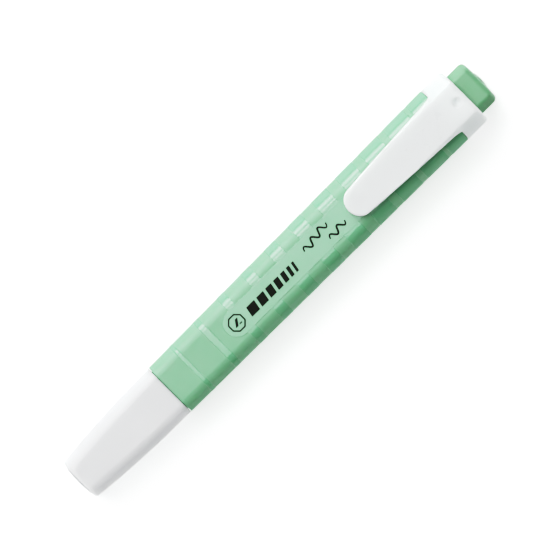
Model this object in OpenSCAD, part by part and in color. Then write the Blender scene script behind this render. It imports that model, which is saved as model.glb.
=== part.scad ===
// Slim pocket highlighter, lying on its flat back with the cap on.
// X runs from the cap's end to the tail, Z = 0 is the flat back, and +Z is the clip side.
// The pen is centred on X = 0 and Y = 0.

/* [Length] */
// Length of the cap, from its end button to the joint
cap_len = 29.73; // [29.5:0.01:30.5]
// Length of the visible barrel, from the joint to the clip ring
barrel_len = 88.56; // [88.3:0.01:90]
// Length of the clip ring along the pen
ring_len = 6.3; // [6:0.1:7]
// Length of the end plug's stub behind the clip ring
stub_len = 5.14; // [4.5:0.01:6]
// Height of the round pad on the stub's end
stub_pad = 0.27; // [0.1:0.01:0.4]

/* [Section] */
// Half-width of the barrel at the joint
front_half = 6.98; // [6.9:0.01:7.1]
// Half-width of the barrel at the clip ring
rear_half = 7.71; // [7.6:0.01:7.8]
// Thickness of the barrel at the joint, back to front
front_thick = 10.4; // [10.3:0.05:10.6]
// Thickness of the barrel at the clip ring, back to front
rear_thick = 11.2; // [11:0.1:11.5]
// Width of the barrel's corner facets at the joint
front_facet = 2.1; // [2:0.05:2.5]
// Width of the barrel's corner facets at the clip ring
rear_facet = 2.45; // [2.3:0.05:2.8]

/* [Grip bands] */
// Number of raised bands round the barrel
band_count = 11; // [6:1:11]
// Distance from the joint to the first band
band_first = 6.67; // [6:0.01:6.8]
// Distance from the start of one band to the start of the next
band_pitch = 7.69; // [7.5:0.01:7.7]
// Length of the first band along the pen
band_width = 0.93; // [0.6:0.01:1]
// Growth in length from one band to the next
band_growth = 0.62; // [0.3:0.01:0.63]
// How far a band stands out of the barrel
band_raise = 0.05; // [0.03:0.01:0.1]

/* [Label panel] */
// Distance from the joint to the panel's round end
panel_first = 18.27; // [16:0.01:24]
// Width of the panel
panel_w = 6.54; // [5:0.01:7]

/* [Clip] */
// Height of the clip ring's front above the barrel's front
ring_rise = 2.3; // [2.2:0.1:2.6]
// Width of the clip ring's corner facets on the front
ring_facet = 3.43; // [3.2:0.01:3.6]
// Length of the clip arm, from its tip to the ring
arm_len = 31.1; // [27:0.1:33]
// Half-width of the arm where its round tip ends
arm_tip_half = 3.6; // [3:0.1:3.9]
// Half-width of the arm 21 mm behind its round tip
arm_root_half = 4.8; // [4.5:0.1:4.9]
// Thickness of the arm
arm_thick = 1.35; // [1.1:0.05:1.4]
// How far the arm's front drops from the ring to the tip
arm_drop = 0.45; // [0.2:0.05:0.5]
// Diameter of the dimple on the ring's front
dimple_d = 2.4; // [1.6:0.1:2.8]

/* [Neck, nib and reservoir] */
// Half-width of the neck that the cap fits on, and of the stub
neck_half = 5.88; // [5.8:0.01:5.9]
// Half-height of the neck that the cap fits on, and of the stub
neck_tall = 4.15; // [4.1:0.01:4.2]
// Length of the neck in front of the joint
neck_len = 6; // [5.5:0.1:6.5]
// Width of the nib's chisel edge
nib_w = 4.6; // [4.3:0.1:4.8]
// Thickness of the nib
nib_t = 3.2; // [3:0.1:3.3]
// Distance from the cap's end to the nib's tip
nib_first = 7.2; // [7:0.1:8]
// Length of the nib outside its holder
nib_out = 5.3; // [4.8:0.1:5.8]
// Width of the ink reservoir's fibre core
core_w = 10.3; // [9.8:0.1:10.3]
// Thickness of the ink reservoir's fibre core
core_t = 6.8; // [6.4:0.1:6.8]
// Length of the ink reservoir
core_len = 80; // [70:1:82]
// Wall of the film round the reservoir
film = 0.12; // [0.1:0.01:0.15]

/* [Cap] */
// Wall of the cap's outer shell
cap_wall = 1; // [0.95:0.01:1.02]
// Wall of the cap's inner cup
inner_wall = 0.6; // [0.5:0.05:0.6]
// Half-width of the button on the cap's end
button_half = 4.1; // [3.8:0.1:4.2]

/* [Hidden] */

// Places along the pen
total = cap_len + barrel_len + ring_len + stub_len + stub_pad;
x_cap = -total / 2;
x_joint = x_cap + cap_len;
x_ring = x_joint + barrel_len;
x_stub = x_ring + ring_len;
x_end = x_stub + stub_len;
x_nib = x_cap + nib_first;
x_nose = x_nib + nib_out;
x_neck = x_joint - neck_len;
x_land = x_neck - 4.2;
x_feed = x_neck + 0.4;
x_core = x_joint + 1.4;
x_insert = x_stub - 8.5;
x_tip = x_ring - arm_len;
x_split = x_ring - 1;

// The barrel: heights of its middle at the joint and at the tail, edges and end
mid_front = front_thick / 2;
mid_rear = rear_thick / 2;
tilt = atan((rear_thick - front_thick) / barrel_len);
edge_r = 1.1;
front_r = 3;
joint_r = 0.25;
panel_raise = band_raise + 0.02;

// The barrel's bore and the neck at its tail
bore_half = 5.4;
bore_tall = 3.65;
bore_facet = 1.8;
bore_draft = 0.05;
x_bend = x_insert - 0.5;
tail_half = 6.3;
tail_tall = 4.55;
tail_facet = 2.2;
tail_len = 5.4;
inner_r = 0.5;

// The neck at its front: seat for the cap, feed chamber, seal land, nose and nib socket
neck_facet = 1.8;
neck_r = 0.6;
feed_half = 4.7;
feed_tall = 2.95;
land_half = 4.3;
land_tall = 3.2;
nose_half = 3.1;
nose_tall = 2.3;
nose_edge = 0.3;
socket_gap = 0.03;
vent_w = 1;
vent_deep = 0.35;

// The nib: slant in plan, edge from the side, and the shank that pushes into the core
nib_slant = 2.3;
nib_edge_t = 1;
nib_bevel = 2.6;
shank_w = 4.2;
shank_t = 2.8;
shank_in_core = 4;

// The end plug
insert_gap = 0.04;
plug_wall = 1.1;
stub_end_r = 1.3;
stub_front_r = 1.5;
stub_dome = 0.2;
stub_pad_d = 4.5;

// The clip
ring_half = rear_half + band_raise;
ring_top = rear_thick + ring_rise;
ring_edge = 0.25;
ring_front_r = 0.2;
ring_end_r = 1;
ring_gap = 0.03;
lip_gap = 0.06;
arm_tip_len = 3.3;
arm_gap = 0.05;
arm_flare = 0.6;
arm_flare_len = 2.4;
arm_edge = 0.3;
arm_thin_edge = 0.4;
nub_d = 3.2;
nub_gap = 0.1;
x_dimple = x_stub - 2.4;
dimple_deep = 0.35;
dimple_r = (pow(dimple_d / 2, 2) + pow(dimple_deep, 2)) / (2 * dimple_deep);

// The cap: size at the joint, narrowing towards the end, mouth, and the cup inside
cap_step = 0.06;
cap_half = front_half - cap_step;
cap_tall = mid_front - cap_step;
cap_facet = 2;
cap_edge_r = 1;
cap_front_r = 2.8;
cap_end_r = 1;
cap_swell = 27;
cap_narrowing = 1.36;
cap_thinning = 1.15;
x_face = x_cap + 0.45;
mouth_gap = 0.05;
button_tall = 2.3;
button_dome = 0.27;
end_wall = 1.2;
x_floor = x_face + 1.85;
x_cup = x_neck - 0.3;
cup_half = 3.7;
cup_tall = 2.35;
seal_gap = 0.05;

arc_steps = 3;
oval_steps = 12;

// Number that runs from a to b while x runs from x0 to x1
function mix(a, b, x, x0, x1) = a + (b - a) * (x - x0) / (x1 - x0);

// Octagon across the pen, from height z0 to z1, with rounded edges; its facets are
// front wide on the clip side and back wide on the flat side. The two edges of its
// flat front are rounded by front_r, the others by r
function octagon(half, z0, z1, front, back, r, front_r) =
    let (corners = [[half, z1 - front], [half - front, z1], [front - half, z1],
                    [-half, z1 - front], [-half, z0 + back], [back - half, z0],
                    [half - back, z0], [half, z0 + back]])
    [for (k = [0 : 7], j = [0 : arc_steps])
        let (radius = k == 1 || k == 2 ? front_r : r,
             inward = radius / (1 + cos(45)),
             a = 45 * (k + j / arc_steps))
        [corners[k][0] - inward * (cos(45 * k) + cos(45 * (k + 1))) + radius * cos(a),
         corners[k][1] - inward * (sin(45 * k) + sin(45 * (k + 1))) + radius * sin(a)]];

// Flat oval across the pen: two half circles joined by straight sides
function oval(half, tall, mid) =
    [for (side = [1, -1], j = [0 : oval_steps])
        let (a = 180 * j / oval_steps - 90)
        [side * (half - tall + tall * cos(a)), mid + side * tall * sin(a)]];

// Solid through a list of [place along the pen, outline across it]
module loft(rings) {
    n = len(rings[0][1]);
    m = len(rings);
    points = [for (ring = rings, p = ring[1]) [ring[0], p[0], p[1]]];
    sides = [for (s = [0 : m - 2], i = [0 : n - 1], upper = [true, false])
        let (a = s * n + i, b = s * n + (i + 1) % n)
        upper ? [a, a + n, b + n] : [a, b + n, b]];
    ends = [[for (i = [0 : n - 1]) i], [for (i = [n - 1 : -1 : 0]) (m - 1) * n + i]];
    polyhedron(points, concat(ends, sides));
}

// Straight flat-oval bar along the pen
module oval_bar(x0, x1, half, tall, mid) {
    translate([x0, 0, mid])
    rotate([90, 0, 90])
    linear_extrude(x1 - x0)
    union() {
        square([2 * (half - tall), 2 * tall], center = true);
        for (side = [-1, 1]) translate([side * (half - tall), 0]) circle(tall, $fn = 48);
    }
}

// Straight octagon bar along the pen
module octagon_bar(x0, x1, half, tall, mid, facet, r) {
    loft([for (x = [x0, x1]) [x, octagon(half, mid - tall, mid + tall, facet, facet, r, r)]]);
}

// Straight bar along the pen with a rectangular section
module square_bar(x0, x1, w, t, mid) {
    translate([x0, -w / 2, mid - t / 2]) cube([x1 - x0, w, t]);
}

// Height of the barrel's front at a place along the pen
function barrel_front(x) = mix(front_thick, rear_thick, x, x_joint, x_ring);

// Outline across the barrel, standing out by raise or drawn in by inset; the back stays flat
function barrel_outline(x, raise, inset) =
    let (facet = mix(front_facet, rear_facet, x, x_joint, x_ring))
    octagon(mix(front_half, rear_half, x, x_joint, x_ring) + raise - inset,
            inset, barrel_front(x) + raise - inset, facet, facet, edge_r, front_r);

function band_start(i) = x_joint + band_first + band_pitch * i;
function band_end(i) = band_start(i) + band_width + band_growth * i;

// Outlines of one band: a short ramp up, the band, and a short ramp down
function band_rings(i) =
    [for (step = [[band_start(i) - band_raise, 0], [band_start(i), band_raise],
                  [band_end(i), band_raise], [band_end(i) + band_raise, 0]])
        [step[0], barrel_outline(step[0], step[1], 0)]];

// Octagonal tube with its bands; a band that would pass the clip ring ends at it
module barrel_skin() {
    front = [for (a = [0 : 30 : 90])
        [x_joint + joint_r * (1 - cos(a)), barrel_outline(x_joint, 0, joint_r * (1 - sin(a)))]];
    bands = [for (i = [0 : band_count - 1], ring = band_rings(i)) if (ring[0] < x_ring - 0.1) ring];
    last_raise = band_end(band_count - 1) > x_ring ? band_raise : 0;
    loft(concat(front, bands, [[x_ring, barrel_outline(x_ring, last_raise, 0)]]));
}

// Flat smooth panel with round ends on the barrel's front, running on under the clip arm
module label_panel() {
    depth = 0.5;
    run = x_ring - 3 - x_joint - panel_first - panel_w;
    translate([x_joint + panel_first, 0, barrel_front(x_joint + panel_first)])
    rotate([0, -tilt, 0])
    translate([panel_w / 2, 0, -depth])
    linear_extrude(depth + panel_raise)
    union() {
        for (x = [0, run]) translate([x, 0]) circle(d = panel_w, $fn = 64);
        translate([0, -panel_w / 2]) square([run, panel_w]);
    }
}

// Neck in front of the joint: cap seat, seal land and nose
module neck_skin() {
    octagon_bar(x_neck, x_joint + 1, neck_half, neck_tall, mid_front, neck_facet, neck_r);
    oval_bar(x_land, x_neck + 1, land_half, land_tall, mid_front);
    loft([[x_nose, oval(nose_half - nose_edge, nose_tall - nose_edge, mid_front)],
          [x_nose + nose_edge, oval(nose_half, nose_tall, mid_front)],
          [x_land + 0.01, oval(land_half - 0.02, land_tall - 0.02, mid_front)]]);
}

// Outline across the bore at a place along the pen
function bore_outline(x, draft) =
    let (mid = mix(mid_front, mid_rear, min(x, x_bend), x_joint, x_bend))
    octagon(bore_half - draft, mid - bore_tall + draft, mid + bore_tall - draft,
            bore_facet, bore_facet, inner_r, inner_r);

// Hollow of the barrel: bore, feed chamber, nib socket and its two air channels
module barrel_inside() {
    loft([[x_core, bore_outline(x_core, bore_draft)],
          [x_bend, bore_outline(x_bend, 0)],
          [x_ring + tail_len + 1, bore_outline(x_bend, 0)]]);
    oval_bar(x_feed, x_core + 1, feed_half, feed_tall, mid_front);
    square_bar(x_nose - 1, x_feed + 1, nib_w + 2 * socket_gap, nib_t + 2 * socket_gap, mid_front);
    square_bar(x_nose - 1, x_feed + 1, vent_w, nib_t + 2 * vent_deep, mid_front);
}

module barrel() {
    color("#98cba8")
    difference() {
        union() {
            barrel_skin();
            label_panel();
            neck_skin();
            octagon_bar(x_ring - 1, x_ring + tail_len, tail_half, tail_tall, mid_rear,
                        tail_facet, inner_r);
        }
        barrel_inside();
    }
}

// Chisel nib: slanted in plan, bevelled to an edge from the side, with a narrower shank
module nib() {
    color("#7fc79a")
    translate([0, 0, mid_front])
    union() {
        intersection() {
            translate([0, 0, -nib_t])
            linear_extrude(2 * nib_t)
            polygon([[x_nib, nib_w / 2], [x_nib + nib_slant, -nib_w / 2],
                     [x_feed, -nib_w / 2], [x_feed, nib_w / 2]]);
            rotate([90, 0, 0])
            translate([0, 0, -nib_w])
            linear_extrude(2 * nib_w)
            polygon([[x_nib, nib_edge_t / 2], [x_nib, -nib_edge_t / 2],
                     [x_nib + nib_bevel, -nib_t / 2], [x_feed, -nib_t / 2],
                     [x_feed, nib_t / 2], [x_nib + nib_bevel, nib_t / 2]]);
        }
        square_bar(x_feed - 1, x_core + shank_in_core, shank_w, shank_t, 0);
    }
}

// Puts what is drawn along X on the bore's slightly tilted middle line
module along_bore() {
    slope = atan((mid_rear - mid_front) / (x_bend - x_joint));
    translate([x_joint, 0, mid_front]) rotate([0, -slope, 0]) translate([-x_joint, 0, 0]) children();
}

module ink_reservoir() {
    color("#8fd6ac")
    difference() {
        along_bore() oval_bar(x_core + 0.1, x_core + core_len, core_w / 2, core_t / 2, 0);
        square_bar(x_core - 1, x_core + shank_in_core, shank_w, shank_t, mid_front);
    }
}

module reservoir_film() {
    color("#e6eceb")
    along_bore()
    difference() {
        oval_bar(x_core + 0.6, x_core + core_len - 0.5, core_w / 2 + film, core_t / 2 + film, 0);
        oval_bar(x_core, x_core + core_len, core_w / 2, core_t / 2, 0);
    }
}

// Outline across the stub, drawn in by inset
function stub_outline(inset) =
    octagon(neck_half - inset, mid_rear - neck_tall + inset, mid_rear + neck_tall - inset,
            neck_facet - 0.5 * inset, neck_facet - 0.5 * inset, neck_r, stub_front_r);

// Plug pressed into the tail neck; its wider stub holds the clip ring in place
module end_plug() {
    round_end = [for (a = [0 : 15 : 90])
        [x_end - stub_dome - stub_end_r * (1 - sin(a)), stub_outline(stub_end_r * (1 - cos(a)))]];
    dome = [for (q = [0.8 : -0.2 : 0.2])
        [x_end - stub_dome * q * q,
         [for (p = stub_outline(stub_end_r)) [p[0] * q, mid_rear + (p[1] - mid_rear) * q]]]];
    color("#86c096")
    difference() {
        union() {
            octagon_bar(x_insert, x_stub + 1, bore_half - insert_gap, bore_tall - insert_gap,
                        mid_rear, bore_facet, inner_r);
            loft(concat([[x_stub, stub_outline(0)]], round_end, dome));
            translate([x_end - 1, 0, mid_rear])
            rotate([0, 90, 0])
            cylinder(d = stub_pad_d, h = 1 + stub_pad, $fn = 64);
        }
        oval_bar(x_insert - 1, x_end - 2, bore_half - plug_wall, bore_tall - plug_wall, mid_rear);
    }
}

// Outline across the clip ring, drawn in by inset
function ring_outline(inset) =
    octagon(ring_half - inset, inset, ring_top - inset, ring_facet - 0.5 * inset,
            rear_facet - 0.5 * inset, ring_edge, ring_edge);

// Half-width of the arm: round tip, slow widening, then a flare into the ring
function arm_half(x) =
    let (run = x - x_tip,
         past = max(0, run - arm_tip_len),
         flare = max(0, x - x_ring + arm_flare_len) / arm_flare_len)
    run < arm_tip_len
        ? arm_tip_half * sqrt(1 - pow(1 - run / arm_tip_len, 2))
        : arm_tip_half + (arm_root_half - arm_tip_half) * pow(past / 21, 0.75)
          + arm_flare * pow(min(1, flare), 2);

// Height of the arm's front at a place along the pen
function arm_top(x) = ring_top - arm_drop * max(0, x_ring - x) / arm_len;

// Outline across the arm: flat front, edges that carry on the ring's facets, flat back
function arm_outline(x) =
    let (half = max(0.7, arm_half(x)),
         flat = min(half - arm_edge, ring_half - ring_facet),
         top = arm_top(x),
         edge = top - half + flat,
         base = min(top - arm_thick, edge - arm_thin_edge))
    [[half, base + 0.15], [half, edge], [flat, top], [-flat, top],
     [-half, edge], [-half, base + 0.15], [0.15 - half, base], [half - 0.15, base]];

// Clip ring round the tail neck: the end plug's stub holds its inward lip
module clip_ring() {
    front = [for (a = [0 : 45 : 90])
        [x_ring + ring_front_r * (1 - cos(a)), ring_outline(ring_front_r * (1 - sin(a)))]];
    rear = [for (a = [0 : 15 : 90])
        [x_stub - ring_end_r * (1 - sin(a)), ring_outline(ring_end_r * (1 - cos(a)))]];
    color("#eceeed")
    difference() {
        union() {
            loft(concat(front, rear));
            loft([for (x = [x_split, x_ring - 0.5, x_ring, x_ring + 1])
                [x, arm_outline(min(x, x_ring))]]);
        }
        octagon_bar(x_ring - 0.01, x_ring + tail_len + 0.02, tail_half + ring_gap,
                    tail_tall + ring_gap, mid_rear, tail_facet, inner_r);
        octagon_bar(x_ring, x_stub + 1, bore_half + lip_gap, bore_tall + lip_gap, mid_rear,
                    bore_facet, inner_r);
        translate([x_dimple, 0, ring_top - dimple_deep + dimple_r]) sphere(dimple_r, $fn = 96);
    }
}

// Spring arm with a small nub under its tip
module clip_arm() {
    round_tip = [for (a = [0 : 15 : 75]) x_tip + arm_tip_len * (1 - cos(a))];
    run = [for (i = [0 : 9]) mix(x_tip + arm_tip_len, x_ring - arm_flare_len, i, 0, 9)];
    x_nub = x_tip + arm_tip_len;
    nub_base = barrel_front(x_nub) + panel_raise + nub_gap;
    color("#eceeed")
    union() {
        loft([for (x = concat(round_tip, run, [x_ring - 1.7, x_split - arm_gap]))
            [x, arm_outline(x)]]);
        translate([x_nub, 0, nub_base])
        cylinder(d1 = nub_d - 0.8, d2 = nub_d, h = arm_top(x_nub) - 0.5 - nub_base, $fn = 48);
    }
}

// Outline across the cap, drawn in by inset; it narrows towards the end along a parabola
function cap_outline(x, inset) =
    let (curve = pow(max(0, x_cap + cap_swell - x) / (cap_swell - 1), 2),
         half = cap_half - cap_narrowing * curve - inset,
         tall = cap_tall - cap_thinning * curve - inset,
         facet = cap_facet - 0.5 * inset)
    octagon(half, mid_front - tall, mid_front + tall, facet, facet, cap_edge_r, cap_front_r);

module cap_shell() {
    round_end = [for (a = [0 : 18 : 90])
        let (x = x_face + cap_end_r * (1 - cos(a)))
        [x, cap_outline(x, cap_end_r * (1 - sin(a)))]];
    run = [for (i = [1 : 12])
        let (x = mix(x_face + cap_end_r, x_cap + cap_swell, i, 0, 12))
        [x, cap_outline(x, 0)]];
    mouth = [[x_joint - 0.35, cap_outline(x_joint, 0)], [x_joint - 0.05, cap_outline(x_joint, 0.2)]];
    color("#e9ecea")
    difference() {
        loft(concat(round_end, run, mouth));
        loft([for (i = [0 : 8])
            let (x = mix(x_face + end_wall, x_neck - 1.2, i, 0, 8))
            [x, cap_outline(x, cap_wall)]]);
        octagon_bar(x_neck - 1.3, x_joint + 1, neck_half + mouth_gap, neck_tall + mouth_gap,
                    mid_front, neck_facet, neck_r);
        oval_bar(x_cap - 1, x_face + 2, button_half - 0.25, button_tall - 0.25, mid_front);
    }
}

// Outline across the cup in the cap, standing out by wall
function cup_outline(x, wall) =
    let (place = min(max(x, x_floor), x_land))
    oval(mix(cup_half, land_half + seal_gap, place, x_floor, x_land) + wall,
         mix(cup_tall, land_tall + seal_gap, place, x_floor, x_land) + wall, mid_front);

// Cup inside the cap that closes on the seal land; its button shows on the cap's end
module inner_cap() {
    places = [x_floor, x_land, x_cup];
    color("#f3f5f4")
    difference() {
        union() {
            loft(concat([[x_face + end_wall + 0.05, cup_outline(x_floor, inner_wall - 0.2)]],
                        [for (x = places) [x, cup_outline(x, inner_wall)]]));
            oval_bar(x_face - 0.2, x_floor, button_half - 0.3, button_tall - 0.3, mid_front);
            loft(concat([for (q = [0.2 : 0.2 : 1])
                            [x_cap + button_dome * q * q,
                             oval(button_half * q, button_tall * q, mid_front)]],
                        [[x_face - 0.05, oval(button_half, button_tall, mid_front)]]));
        }
        loft([for (x = [x_floor, x_land, x_cup + 0.01]) [x, cup_outline(x, 0)]]);
    }
}

cap_shell();
inner_cap();
barrel();
nib();
ink_reservoir();
reservoir_film();
end_plug();
clip_ring();
clip_arm();
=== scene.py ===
"""A slim pocket highlighter, capped, lying on its flat back and seen straight down on its clip side."""
import math

import bmesh
import bpy
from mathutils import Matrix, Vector


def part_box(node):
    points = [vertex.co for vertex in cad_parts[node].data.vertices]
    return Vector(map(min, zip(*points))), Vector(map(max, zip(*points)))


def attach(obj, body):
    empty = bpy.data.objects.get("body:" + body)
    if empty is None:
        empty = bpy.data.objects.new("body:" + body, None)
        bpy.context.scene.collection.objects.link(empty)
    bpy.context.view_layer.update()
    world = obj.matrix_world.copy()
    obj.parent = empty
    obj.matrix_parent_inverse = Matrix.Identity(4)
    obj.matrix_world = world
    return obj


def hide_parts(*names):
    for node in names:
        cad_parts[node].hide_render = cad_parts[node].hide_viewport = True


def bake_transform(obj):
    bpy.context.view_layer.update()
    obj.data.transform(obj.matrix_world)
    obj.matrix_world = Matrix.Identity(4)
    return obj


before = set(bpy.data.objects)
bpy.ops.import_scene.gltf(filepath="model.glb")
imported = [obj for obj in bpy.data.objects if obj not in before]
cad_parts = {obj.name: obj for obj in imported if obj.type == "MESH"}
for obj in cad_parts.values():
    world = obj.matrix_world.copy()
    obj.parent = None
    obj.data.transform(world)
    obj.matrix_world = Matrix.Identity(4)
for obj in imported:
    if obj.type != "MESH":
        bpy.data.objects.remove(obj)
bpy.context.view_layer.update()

# Lengths below are in millimetres, in the CAD frame; MM turns them into metres.
MM = 0.001


def box(node):
    """Lowest and highest corner of a CAD node, in millimetres."""
    low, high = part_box(node)
    return low / MM, high / MM


# ---------------------------------------------------------------- places, from the frame
CAP_LOW, CAP_HIGH = box("cap_shell")
CUP_LOW, CUP_HIGH = box("inner_cap")
BARREL_LOW, BARREL_HIGH = box("barrel")
NIB_LOW, NIB_HIGH = box("nib")
PLUG_LOW, PLUG_HIGH = box("end_plug")
RING_LOW, RING_HIGH = box("clip_ring")
ARM_LOW = box("clip_arm")[0]

# How far the bands, the label panel and the barrel's shoulder stand out
BAND_RAISE = 0.05
PANEL_RAISE = 0.07
CAP_STEP = 0.06

# Heights of the middle, half-widths, half-heights and facets of the pen's outlines
MID_FRONT = (CAP_LOW.z + CAP_HIGH.z) / 2
MID_REAR = (PLUG_LOW.z + PLUG_HIGH.z) / 2
FRONT_THICK = 2 * MID_FRONT
REAR_THICK = 2 * MID_REAR
FRONT_HALF = CAP_HIGH.y + CAP_STEP
REAR_HALF = RING_HIGH.y - BAND_RAISE
FRONT_FACET = 2.0
REAR_FACET = 2.45
CAP_FACET = 2.0
NECK_HALF = PLUG_HIGH.y
NECK_TALL = (PLUG_HIGH.z - PLUG_LOW.z) / 2
NECK_FACET = 1.8
NECK_R = 0.6
TAIL_HALF = 6.3
TAIL_TALL = 4.55
TAIL_FACET = 2.2
BORE_HALF = 5.4
BORE_TALL = 3.65
BORE_FACET = 1.8
BORE_R = 0.5

# Lengths along the pen
JOINT_GAP = 0.05
NECK_LENGTH = 6.0
LAND_LENGTH = 4.2
PAD_HEIGHT = 0.27
ROOT_LENGTH = 1.0  # of the arm's root, which is in front of the ring
FEED_DEPTH = 0.4  # of the nib's socket behind the neck's front
CORE_DEPTH = 1.4  # of the fibre core's seat behind the joint

# Places along the pen: cap's joint, clip ring, stub and its end, nose, neck, the land in front of it,
# the feed hole behind the nib, the fibre core's seat, the end plug's insert, and the barrel's tail
X_JOINT = CAP_HIGH.x + JOINT_GAP
X_RING = RING_LOW.x + ROOT_LENGTH
X_STUB = RING_HIGH.x
X_END = PLUG_HIGH.x - PAD_HEIGHT
X_NOSE = BARREL_LOW.x
X_NECK = X_JOINT - NECK_LENGTH
X_LAND = X_NECK - LAND_LENGTH
X_FEED = X_NECK + FEED_DEPTH
X_CORE = X_JOINT + CORE_DEPTH
X_INSERT = PLUG_LOW.x
X_TAIL = BARREL_HIGH.x

ARC = 6  # segments round one edge of an octagon
# What an inset of 1 takes off half a flat (root 2 less 1) and off a facet (2 less root 2) of an octagon
FLAT_LOSS = 0.414
FACET_LOSS = 0.586


# ---------------------------------------------------------------- outlines across the pen
def mix(a, b, t):
    return a + (b - a) * t


def octagon(half, low, high, front, back, r, front_r=None):
    """Octagon from height low to high; front and back are its facets' widths.

    The two edges of its flat front are rounded by front_r, the others by r."""
    corners = [(half, high - front), (half - front, high), (front - half, high), (-half, high - front),
               (-half, low + back), (back - half, low), (half - back, low), (half, low + back)]
    points = []
    for k, (y, z) in enumerate(corners):
        radius = front_r if front_r and k in (1, 2) else r
        inward = radius / (1 + math.cos(math.pi / 4))
        before, after = math.radians(45 * k), math.radians(45 * (k + 1))
        y -= inward * (math.cos(before) + math.cos(after))
        z -= inward * (math.sin(before) + math.sin(after))
        for j in range(ARC + 1):
            a = mix(before, after, j / ARC)
            points.append((y + radius * math.cos(a), z + radius * math.sin(a)))
    return points


def even_octagon(half, tall, mid, facet, r, front_r=None):
    """Octagon with four like facets and its middle at height mid."""
    return octagon(half, mid - tall, mid + tall, facet, facet, r, front_r)


def oval(half, tall, mid):
    """Flat oval with as many points as an octagon, in the same order."""
    points = []
    for k in range(8):
        side = 1 if k in (0, 1, 6, 7) else -1
        for j in range(ARC + 1):
            a = math.radians(45 * (k + j / ARC))
            points.append((side * (half - tall) + tall * math.cos(a), mid + tall * math.sin(a)))
    return points


def scaled(outline, share, mid):
    """Outline drawn in towards the point at height mid."""
    return [(y * share, mid + (z - mid) * share) for y, z in outline]


def along(x):
    """0 at the joint between cap and barrel, 1 at the clip ring."""
    return (x - X_JOINT) / (X_RING - X_JOINT)


def barrel_front(x):
    return mix(FRONT_THICK, REAR_THICK, along(x))


# Edge radii in a gap and on a band, at the sides and beside the flat front
GAP_R, BAND_R = 1.15, 0.9
GAP_FRONT_R, BAND_FRONT_R = 3.3, 2.9


def barrel_outline(x, raised=0.0, inset=0.0):
    """Barrel outline; raised runs from 0 in a soft-edged gap to 1 on a crisp band."""
    lift = BAND_RAISE * raised - inset
    facet = mix(FRONT_FACET, REAR_FACET, along(x))
    return octagon(mix(FRONT_HALF, REAR_HALF, along(x)) + lift, inset, barrel_front(x) + lift,
                   facet, facet, mix(GAP_R, BAND_R, raised), mix(GAP_FRONT_R, BAND_FRONT_R, raised))


# The cap is widest at X_SWELL. TAPER_LENGTH in front of it, each side has come in by these
X_SWELL = CUP_LOW.x + 27
TAPER_LENGTH = 26
TAPER_HALF = 1.36
TAPER_TALL = 1.15
CAP_R = 1.0
CAP_FRONT_R = 2.8


def cap_outline(x, inset=0.0):
    """Cap outline: it narrows towards its end along a parabola."""
    curve = max(0.0, (X_SWELL - x) / TAPER_LENGTH) ** 2
    half = CAP_HIGH.y - TAPER_HALF * curve - inset
    tall = CAP_HIGH.z - MID_FRONT - TAPER_TALL * curve - inset
    return even_octagon(half, tall, MID_FRONT, CAP_FACET - inset / 2, CAP_R, CAP_FRONT_R)


# ---------------------------------------------------------------- mesh building
class Shape:
    """A mesh under construction, made of outlines and the walls between them."""

    def __init__(self):
        self.bm = bmesh.new()

    def ring(self, x, outline):
        return [self.bm.verts.new((x * MM, y * MM, z * MM)) for y, z in outline]

    def face(self, verts, slot=0):
        face = self.bm.faces.new(verts)
        face.material_index = slot
        return face

    def wall(self, a, b, slot=0):
        """Closed wall between two outlines with as many points."""
        for i in range(len(a)):
            j = (i + 1) % len(a)
            self.face([a[i], a[j], b[j], b[i]], slot)

    def tube(self, stations, slot=0):
        """Wall through a list of (place, outline); returns its first and last ring."""
        rings = [self.ring(x, outline) for x, outline in stations]
        for a, b in zip(rings, rings[1:]):
            self.wall(a, b, slot)
        return rings[0], rings[-1]

    def fill(self, *loops, slot=0):
        """Flat face between an outer loop and any holes in it."""
        edges = []
        for loop in loops:
            for a, b in zip(loop, loop[1:] + loop[:1]):
                edges.append(self.bm.edges.get((a, b)) or self.bm.edges.new((a, b)))
        made = bmesh.ops.triangle_fill(self.bm, use_beauty=True, edges=edges)
        for item in made["geom"]:
            if isinstance(item, bmesh.types.BMFace):
                item.material_index = slot

    def done(self, name, materials, sharp=38):
        """The finished object, smooth except across edges sharper than an angle in degrees."""
        bmesh.ops.remove_doubles(self.bm, verts=self.bm.verts, dist=1e-7)
        bmesh.ops.recalc_face_normals(self.bm, faces=self.bm.faces)
        mesh = bpy.data.meshes.new(name)
        self.bm.to_mesh(mesh)
        self.bm.free()
        for material in materials:
            mesh.materials.append(material)
        mesh.shade_smooth()
        mesh.set_sharp_from_angle(angle=math.radians(sharp))
        obj = bpy.data.objects.new(name, mesh)
        bpy.context.scene.collection.objects.link(obj)
        weights = obj.modifiers.new("even_faces", "WEIGHTED_NORMAL")
        weights.keep_sharp = True
        return obj


def arc(count):
    """Pairs (forward, inward) round a quarter circle, from 0, 1 to 1, 0."""
    angles = [math.radians(90 * i / count) for i in range(count + 1)]
    return [(1 - math.cos(a), 1 - math.sin(a)) for a in angles]


def rounded(x, r, outline, direction=1, count=4):
    """Stations of an edge of radius r that starts at x; direction -1 lists it backwards in x."""
    stations = [(x + direction * r * forward, outline(r * inward)) for forward, inward in arc(count)]
    return stations if direction == 1 else stations[::-1]


def belongs(obj, body, slot, *nodes):
    """Hangs a piece on a body and hides the CAD nodes it stands for; slot is not used."""
    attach(obj, body)
    if nodes:
        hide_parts(*nodes)
    return obj


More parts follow.
